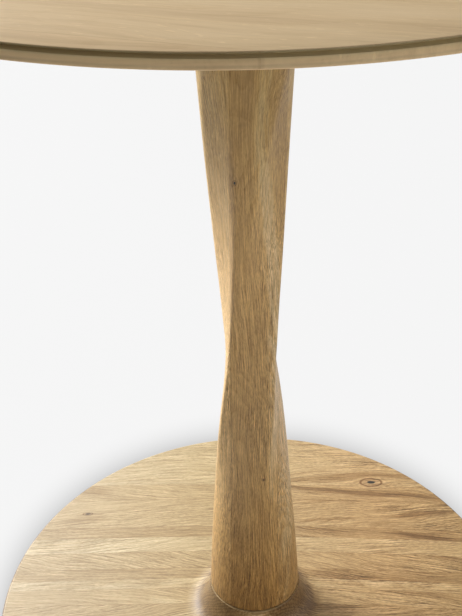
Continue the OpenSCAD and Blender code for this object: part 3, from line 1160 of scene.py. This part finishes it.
@dataclass
class Base:
    """Turned base of glued boards: rim, shallow dome, cove and hub over a steel plate."""

    radius: float = 241 * MM
    bottom: float = 6 * MM
    low_bevel: float = 1.5 * MM
    rim_top: float = 28 * MM
    rim: float = 2.5 * MM
    cove: float = 68 * MM
    cove_toe: float = 1.25
    cove_floor: float = 36 * MM
    cove_steps: int = 32
    hub: float = 41.6 * MM
    hub_lip: float = 1.0 * MM
    hub_arris: Point = (0.4 * MM, 0.35 * MM)
    pocket: float = 190.5 * MM
    pocket_top: float = 14.5 * MM
    pocket_arris: float = 0.3 * MM
    pocket_ring: float = 100 * MM
    dome_rings: tuple[float, ...] = (200 * MM, 160 * MM, 120 * MM, 85 * MM)
    hub_ring: float = 30 * MM
    bolt_room: float = 4.05 * MM
    screw_ring: float = 150 * MM
    screw_room: float = 2.3 * MM
    screw_depth: float = 11 * MM
    sleeve_room: float = 6.1 * MM
    sleeve_depth: float = 15 * MM
    steps: int = 320
    sharp: float = 32.0

    def section(self) -> list[Point]:
        """Draws the turned section.

        Returns:
            Its points, from the pocket's middle to the hub's middle.
        """
        points = [(r, self.pocket_top) for r in (0.0, self.pocket_ring, self.pocket)]
        points += [(self.pocket, self.bottom + self.pocket_arris),
                   (self.pocket + self.pocket_arris, self.bottom),
                   (self.radius - self.low_bevel, self.bottom),
                   (self.radius, self.bottom + self.low_bevel)]
        points += arc(self.radius - self.rim, self.rim_top - self.rim, self.rim, 0, 90, 12)
        slope = (self.cove_floor - self.rim_top) / (self.radius - self.rim - self.cove)
        points += [(r, self.rim_top + slope * (self.radius - self.rim - r))
                   for r in self.dome_rings]
        wide = self.cove - self.hub
        tall = HUB_TOP - self.cove_floor - self.hub_lip
        for i in range(self.cove_steps + 1):
            turn = math.pi / 2 * i / self.cove_steps
            points.append((self.cove - wide * math.sin(turn),
                           self.cove_floor + tall * (1 - math.cos(turn)) ** self.cove_toe))
        points.append((self.hub - 0.1 * MM, HUB_TOP - self.hub_arris[1]))
        return points + [(r, HUB_TOP) for r in (self.hub - self.hub_arris[0], self.hub_ring, 0.0)]

    def build(self) -> bpy.types.Object:
        """Turns the base and bores it for bolts, dowel, screws and glide sleeves.

        Returns:
            The base.
        """
        made = piece(turned_mesh(self.section(), self.steps), "oak_base", self.sharp)
        plate = self.pocket_top - OVERCUT
        drill(made, [
            Holes(on_ring(BOLT_RING, 4, 45), plate, self.bolt_room,
                  HUB_TOP - self.pocket_top + 2 * OVERCUT),
            Holes(on_ring(self.screw_ring, 6), plate, self.screw_room, self.screw_depth + OVERCUT),
            Holes(on_ring(GLIDE_RING, 4, 45), self.bottom - OVERCUT, self.sleeve_room,
                  self.sleeve_depth + OVERCUT),
            Holes([(0, 0)], HUB_TOP - DOWEL_DEPTH, DOWEL_ROOM, DOWEL_DEPTH + OVERCUT)], self.sharp)
        return made

    def finish(self) -> Oak:
        """Chooses the base's boards and their grain.

        Returns:
            Its wood.
        """
        return Oak(
            name="oak_base_boards", grain=Grain.ALONG_X, turn=-1.7, seed=0.73, shine=0.55,
            contrast=(0.68, 1.3), fibre_width=0.6 * MM, hair_strength=2.5, skew=2.2,
            tick_strength=1.3, ring_strength=0.16, end_strength=0.46, end_reach=(0.10, 0.55),
            glue_strength=0.22,
            pale=(0.76, 0.59, 0.345), middle=(0.615, 0.434, 0.222), brown=(0.41, 0.258, 0.112),
            # Tone and painted light along the boards: paler and less yellow towards the left as a
            # painted sheen of the lamps, and darker towards the right.
            tone_and_painted_light_along=((0.1, (0.75, 0.838, 0.985)), (0.4, (0.747, 0.794, 0.80)),
                   (0.75, (0.80, 0.742, 0.67)), (1.0, (0.67, 0.62, 0.52))),
            boards=(
                Board(-0.150, 0.55, (-0.08, -0.10), 0.02, 0.5),
                Board(-0.100, 0.66, (-0.22, -0.06), 0.02, 0.4),
                Board(-0.055, 0.45, (-0.01, -0.06), -0.02, 0.5),
                Board(-0.003, 0.46, (-0.12, -0.05), 0.05, 0.5),
                Board(0.0165, 0.52, (0.10, -0.06), -0.06, 0.5),
                Board(0.029, 0.74, (0.03, -0.04), 0.02, 0.3),
                Board(0.0425, 0.34, (0.12, -0.03), -0.03, 0.6),
                Board(0.0645, 0.52, (-0.04, -0.05), -0.11, 0.4),
                Board(0.085, 0.86, (-0.02, -0.04), 0.04, 0.3),
                Board(0.100, 0.30, (0.20, -0.09), -0.04, 0.6),
                Board(0.140, 0.52, (0.03, -0.06), 0.05, 0.5),
                Board(0.163, 0.44, (0.24, -0.05), -0.06, 0.5),
                Board(0.4, 0.72, (0.10, -0.06), 0.02, 0.2),
            ),
            knots=(
                Knot((0.1197, 0.1687, 0.0293), (11 * MM, 6.5 * MM), 1.0, 0.36),
                Knot((-0.1740, 0.1207, 0.0291), (5 * MM, 2.2 * MM), 0.9, 0.5),
            ),
            streaks=(
                StreakOrPaintedLight((0.10, 0.170), (0.13, 0.007), 0.40),
                StreakOrPaintedLight((0.03, 0.179), (0.06, 0.003), 0.22),
                StreakOrPaintedLight((0.10, 0.135), (0.08, 0.007), 0.40),
                StreakOrPaintedLight((0.17, 0.127), (0.06, 0.006), 0.42),
                StreakOrPaintedLight((0.17, 0.105), (0.05, 0.005), 0.50),
                StreakOrPaintedLight((0.06, 0.103), (0.06, 0.003), 0.24),
                StreakOrPaintedLight((0.20, 0.135), (0.03, 0.016), 0.20),
                StreakOrPaintedLight((0.12, 0.037), (0.11, 0.008), 0.22),
                StreakOrPaintedLight((0.07, -0.012), (0.05, 0.008), 0.30),
                StreakOrPaintedLight((-0.178, 0.131), (0.030, 0.009), 0.20),
                StreakOrPaintedLight((-0.19, 0.092), (0.05, 0.008), 0.10),
                StreakOrPaintedLight((-0.15, 0.034), (0.08, 0.009), 0.12),
                StreakOrPaintedLight((0.14, 0.024), (0.10, 0.006), -0.14),
                StreakOrPaintedLight((-0.075, -0.02), (0.035, 0.014), -0.25),
            ),
        )


@dataclass
class Glide:
    """One levelling glide: a threaded stem on a moulded foot."""

    number: int
    foot_radius: float = 13 * MM
    foot_height: float = 5.7 * MM
    stem_radius: float = 4 * MM
    stem_length: float = 14 * MM
    pitch: float = 1.25 * MM
    rings_per_pitch: int = 10
    thread_depth: float = 0.65 * MM
    flank: float = 2.4
    root: float = 0.7
    tip_bevel: float = 0.3 * MM
    points: int = 40
    edge: float = 1.0 * MM
    dish: float = 0.5 * MM
    dish_rim: Point = (0.58, 0.62)
    collar: Point = (1.2, 1.25)
    foot_steps: int = 64

    def thread(self, turn: float, z: float) -> float:
        """The threaded stem's radius, with a bevelled tip.

        Args:
            turn: angle about the stem's axis.
            z: height.

        Returns:
            The radius there.
        """
        phase = (z / self.pitch - turn / math.tau) % 1.0
        ridge = min(1.0, max(0.0, self.flank * abs(2 * phase - 1) - self.root))
        core = self.stem_radius - self.thread_depth
        start = z - self.foot_height
        return min(self.stem_radius - self.thread_depth * (1 - ridge),
                   core - self.tip_bevel + self.stem_length - start, core + start)

    def build(self, steel: bpy.types.Material, plastic: bpy.types.Material) -> None:
        """Makes the stem and the foot in the places of their CAD nodes.

        Args:
            steel: finish of the stem.
            plastic: finish of the foot.
        """
        x, y = on_ring(GLIDE_RING, 4, 45)[self.number - 1]
        body, edge, top = f"glide_{self.number}", self.edge, self.foot_height
        count = round(self.stem_length / self.pitch * self.rings_per_pitch)
        levels = [top + self.stem_length * i / count for i in range(count + 1)]
        mesh = ringed_mesh(self.points, levels, self.thread, x, y)
        stem = piece(mesh, f"threaded_stem_{self.number}", 60)
        stand_for(stem, f"{body}_stem", body, steel)
        section = [(0.0, 0.0), (self.foot_radius * 0.6, 0.0)]
        section += arc(self.foot_radius - edge, edge, edge, -90, 0, 6)
        section += arc(self.foot_radius - edge, top - edge, edge, 0, 90, 6)
        section += [(self.foot_radius * self.dish_rim[1], top),
                    (self.foot_radius * self.dish_rim[0], top - self.dish),
                    (self.stem_radius * self.collar[1], top - self.dish),
                    (self.stem_radius * self.collar[0], top), (0.0, top)]
        foot = piece(turned_mesh(section, self.foot_steps, x, y), f"moulded_foot_{self.number}", 35)
        stand_for(foot, f"{body}_foot", body, plastic)


@dataclass
class Hardware:
    """The steel, brass and beech parts, which keep their CAD meshes."""

    steel: tuple[str, ...] = ("tabletop_screws", "tabletop_washers", "column_head_screws",
                              "column_foot_bolts", "column_foot_washers", "ballast_screws",
                              "glide_sleeves")
    painted: tuple[str, ...] = ("mounting_plate", "ballast_plate")
    brass: tuple[str, ...] = ("tabletop_inserts", "column_head_inserts", "column_foot_inserts")
    beech: tuple[str, ...] = ("centre_dowel",)

    def zinc(self) -> BrightMetal:
        """Finish of the screws, bolts, washers, sleeves and stems."""
        return BrightMetal("zinc_plate", (0.56, 0.57, 0.58), (0.42, 0.43, 0.45), 0.28)

    def turned_brass(self) -> BrightMetal:
        """Finish of the threaded inserts."""
        return BrightMetal("turned_brass", (0.78, 0.55, 0.24), (0.55, 0.36, 0.14), 0.24)

    def dowel_beech(self) -> Oak:
        """Finish of the dowel.

        Returns:
            Pale, even wood.
        """
        return Oak(name="beech_dowel", grain=Grain.ALONG_Z, seed=0.9, pore_strength=0.1,
                   boards=(Board(0.5, 0.7, (0.2, 0.1), 0.0, 0.5),),
                   pale=(0.70, 0.50, 0.32), middle=(0.60, 0.40, 0.24), brown=(0.45, 0.28, 0.16))

    def dress_all(self, zinc: bpy.types.Material) -> None:
        """Gives each CAD mesh its finish.

        Args:
            zinc: the zinc finish, shared with the glides.
        """
        finishes = ((self.steel, zinc), (self.painted, PaintedSteel().material()),
                    (self.brass, self.turned_brass().material()),
                    (self.beech, self.dowel_beech().material()))
        for names, material in finishes:
            for name in names:
                dress(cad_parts[name], material)
                log.info("%s is dressed in %s", name, material.name)


@dataclass(frozen=True)
class Lamp:
    """A soft square lamp that looks at the table: direction in degrees, size and power."""

    name: str
    azimuth: float
    elevation: float
    size: float
    power: float


@dataclass
class Studio:
    """Camera, backdrop, floor and lamps."""

    lamps: tuple[Lamp, ...] = (
        Lamp("window", 143.0, 20.0, 0.5, 49.5),
        Lamp("window_top", 130.0, 33.0, 0.5, 10.0),
        Lamp("window_high", 162.0, 44.0, 0.5, 10.5),
        Lamp("side", 120.0, 15.0, 0.8, 17.0),
        Lamp("skylight", 125.0, 62.0, 1.0, 12.0),
        Lamp("right", 338.0, 8.0, 1.2, 10.5),
        Lamp("front", 292.0, 30.0, 1.0, 6.3),
    )
    lamp_distance: float = 2.2
    lamp_aim: Place = (0.0, 0.0, 0.35)
    eye: Place = (-0.00025, -0.82055, 0.97699)
    pitch: float = 0.62893
    yaw: float = -0.01749
    roll: float = -0.02946
    lens: float = 75.10
    sensor: float = 36.0
    clip: Point = (0.05, 100.0)
    backdrop: float = 0.913
    glow_share: float = 0.985
    floor_size: float = 40.0
    floor_colour: Colour = (0.86, 0.86, 0.87)
    # A soft grey shadow painted into the floor's look round the base, centred a little behind the
    # axis and reaching further towards the back.
    painted_shadow_back: float = 24.2 * MM
    painted_shadow_start: float = 247 * MM
    painted_shadow_reach: float = 36 * MM
    painted_shadow_more: float = 20 * MM
    painted_shadow_depth: float = 0.29
    painted_shadow_curve: float = 2.3

    def camera(self) -> None:
        """Sets up the camera where the photograph was taken from."""
        cp, sp = math.cos(self.pitch), math.sin(self.pitch)
        cy, sy = math.cos(self.yaw), math.sin(self.yaw)
        cr, sr = math.cos(self.roll), math.sin(self.roll)
        ahead = Vector((sy * cp, cy * cp, -sp))
        level = Vector((cy, -sy, 0))
        upward = level.cross(ahead)
        turn = Matrix((cr * level + sr * upward, -sr * level + cr * upward, -ahead)).transposed()
        data = bpy.data.cameras.new("view")
        data.lens = self.lens
        data.sensor_width = self.sensor
        data.clip_start, data.clip_end = self.clip
        made = bpy.data.objects.new("view", data)
        made.matrix_world = Matrix.Translation(self.eye) @ turn.to_4x4()
        bpy.context.scene.collection.objects.link(made)
        bpy.context.scene.camera = made

    def hang(self, lamp: Lamp) -> None:
        """Hangs a lamp.

        Args:
            lamp: the lamp.
        """
        turn, rise = math.radians(lamp.azimuth), math.radians(lamp.elevation)
        away = Vector((math.cos(turn) * math.cos(rise), math.sin(turn) * math.cos(rise),
                       math.sin(rise)))
        data = bpy.data.lights.new(lamp.name, "AREA")
        data.shape = "SQUARE"
        data.size = lamp.size
        data.energy = lamp.power
        made = bpy.data.objects.new(lamp.name, data)
        made.location = Vector(self.lamp_aim) + away * self.lamp_distance
        made.rotation_mode = "QUATERNION"
        made.rotation_quaternion = (-away).to_track_quat("-Z", "Y")
        bpy.context.scene.collection.objects.link(made)
        log.info("%s lamp hung", lamp.name)

    @staticmethod
    def looks(graph: Graph, *more: str) -> Value:
        """Tells rays that look at a thing from rays that carry its light.

        Args:
            graph: the material or world in the making.
            more: further outputs of the light path that count as looking.

        Returns:
            1 for the camera's rays, for reflections and for the further ones, else 0.
        """
        path = graph.node("ShaderNodeLightPath").outputs
        seen = graph.math("MAXIMUM", path["Is Camera Ray"], path["Is Glossy Ray"])
        for name in more:
            seen = graph.math("MAXIMUM", seen, path[name])
        return seen

    def sky(self) -> None:
        """Hangs the pale backdrop, which is only looked at and lights nothing."""
        world = bpy.data.worlds.new("backdrop")
        bpy.context.scene.world = world
        world.use_nodes = True
        graph = Graph(world.node_tree)
        unlit, seen = (graph.node("ShaderNodeBackground", (*WHITE, 1.0), strength).outputs[0]
                       for strength in (0.0, self.backdrop))
        looked_at = self.looks(graph, "Is Transmission Ray")
        mix = graph.node("ShaderNodeMixShader", looked_at, unlit, seen)
        graph.node("ShaderNodeOutputWorld", mix.outputs[0])

    def floor(self) -> None:
        """Lays the pale floor, which returns light and has a soft grey shadow painted round the
        base.
        """
        mesh = bmesh.new()
        bmesh.ops.create_grid(mesh, x_segments=1, y_segments=1, size=self.floor_size / 2)
        made = piece(mesh, "floor")
        material = bpy.data.materials.new("pale_floor")
        material.use_nodes = True
        graph = Graph(material.node_tree)
        diffuse = graph.node("ShaderNodeBsdfDiffuse", (*self.floor_colour, 1.0))
        # Painted shadow: darkens the floor's look in a soft ring just outside the base.
        x, y, z = graph.split(graph.node("ShaderNodeTexCoord").outputs["Object"])
        y = y - self.painted_shadow_back
        away = graph.length(x, y, z)
        end = graph.math("MULTIPLY_ADD", y / away, self.painted_shadow_more,
                         self.painted_shadow_start + self.painted_shadow_reach)
        near = graph.ease(away, self.painted_shadow_start, end, 1.0, 0.0, "LINEAR")
        curve = graph.math("POWER", near, self.painted_shadow_curve)
        shade = graph.ease(curve, 0.0, 1.0, 1.0, 1.0 - self.painted_shadow_depth, "LINEAR")
        glow = graph.node("ShaderNodeEmission", (*WHITE, 1.0), shade * self.backdrop)
        mix = graph.node("ShaderNodeMixShader", self.looks(graph) * self.glow_share,
                         diffuse.outputs[0], glow.outputs[0])
        graph.node("ShaderNodeOutputMaterial", mix.outputs[0])
        dress(made, material)

    def build(self) -> None:
        """Sets up the whole studio."""
        self.camera()
        self.sky()
        self.floor()
        for lamp in self.lamps:
            self.hang(lamp)
        bpy.context.scene.view_settings.view_transform = "Standard"


def main() -> None:
    """Builds the studio and the table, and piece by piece."""
    logging.basicConfig(level=logging.INFO, format="%(name)s: %(message)s")
    Studio().build()
    top, column, base, hardware = Tabletop(), Column(), Base(), Hardware()
    stand_for(top.build(), "tabletop", TABLE, top.finish().material())
    stand_for(column.build(), "column", TABLE, column.finish().material())
    stand_for(base.build(), "base_disc", TABLE, base.finish().material())
    zinc = hardware.zinc().material()
    plastic = MouldedPlastic().material()
    hardware.dress_all(zinc)
    for number in range(1, 5):
        Glide(number).build(zinc, plastic)


if __name__ == "__main__":
    main()
